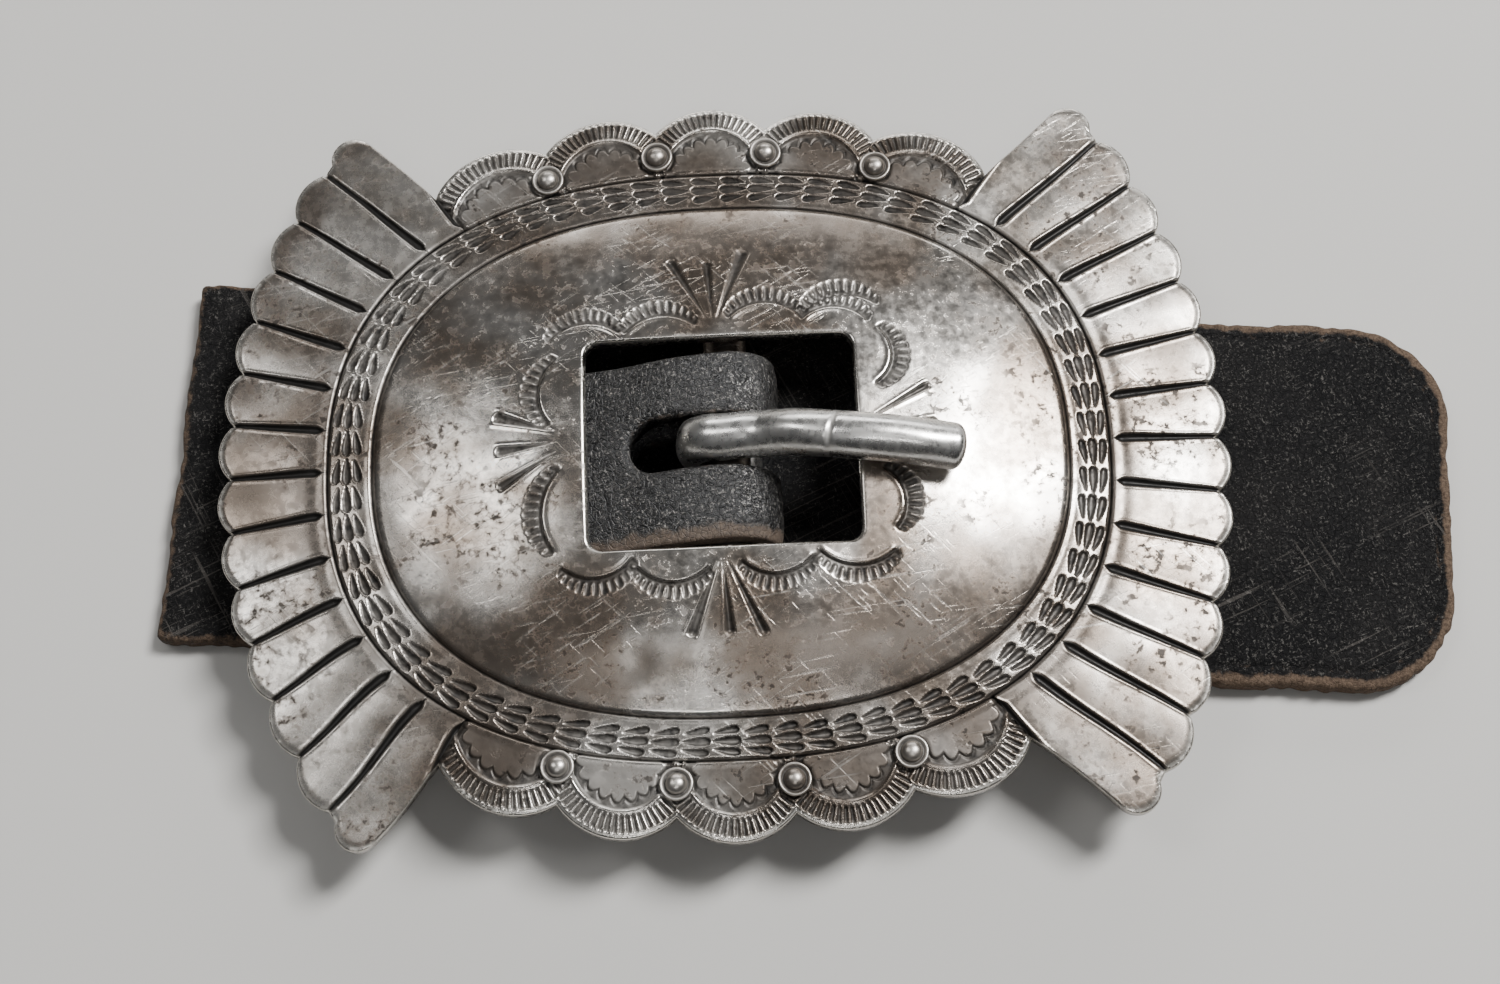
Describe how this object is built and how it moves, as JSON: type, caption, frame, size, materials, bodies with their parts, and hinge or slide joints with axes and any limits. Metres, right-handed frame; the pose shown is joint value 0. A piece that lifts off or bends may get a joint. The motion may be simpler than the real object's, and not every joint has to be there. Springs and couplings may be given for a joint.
{
  "type": "belt buckle",
  "caption": "Oval domed silver belt buckle with feather fans and scallops, a hinged wire tongue on a cross bar, and a riveted leather chape and strap.",
  "frame": {"origin": "on the strap's back face, under the centre of the buckle's window", "axes": "+X along the belt towards its free end, +Y up as the belt is worn, +Z away from the wearer"},
  "size_m": [0.1175, 0.0684, 0.0168],
  "materials": {
    "aged_silver": "old silver sheet, hammered, polished high spots and dark tarnish in the stamping",
    "tongue_silver": "smooth silver wire, worn bright",
    "bar_silver": "dull tarnished silver rod",
    "raindrop_silver": "small polished silver domes",
    "strap_leather": "old black dyed cowhide, scuffed, brown fibrous edges",
    "chape_leather": "old black dyed cowhide, creased, worn brown along the edges",
    "copper": "dull brown copper"
  },
  "bodies": {
    "belt": {"belt_strap": "strap_leather", "chape": "chape_leather", "rivet_upper": "copper", "rivet_lower": "copper", "burr_upper": "copper", "burr_lower": "copper"},
    "buckle": {"face_plate": "aged_silver", "cross_bar": "bar_silver", "raindrop_top_1": "raindrop_silver", "raindrop_top_2": "raindrop_silver", "raindrop_top_3": "raindrop_silver", "raindrop_top_4": "raindrop_silver", "raindrop_bottom_1": "raindrop_silver", "raindrop_bottom_2": "raindrop_silver", "raindrop_bottom_3": "raindrop_silver", "raindrop_bottom_4": "raindrop_silver"},
    "tongue": {"tongue": "tongue_silver"}
  },
  "joints": [
    {"name": "buckle_rock", "type": "hinge", "parent": "belt", "child": "buckle", "pos_m": [0.0005, 0, 0.0077], "axis": [0, -1, 0], "range_deg": [-4, 1]},
    {"name": "tongue_hinge", "type": "hinge", "parent": "buckle", "child": "tongue", "pos_m": [0.0005, 0, 0.0077], "axis": [0, -1, 0], "range_deg": [0, 90]}
  ]
}
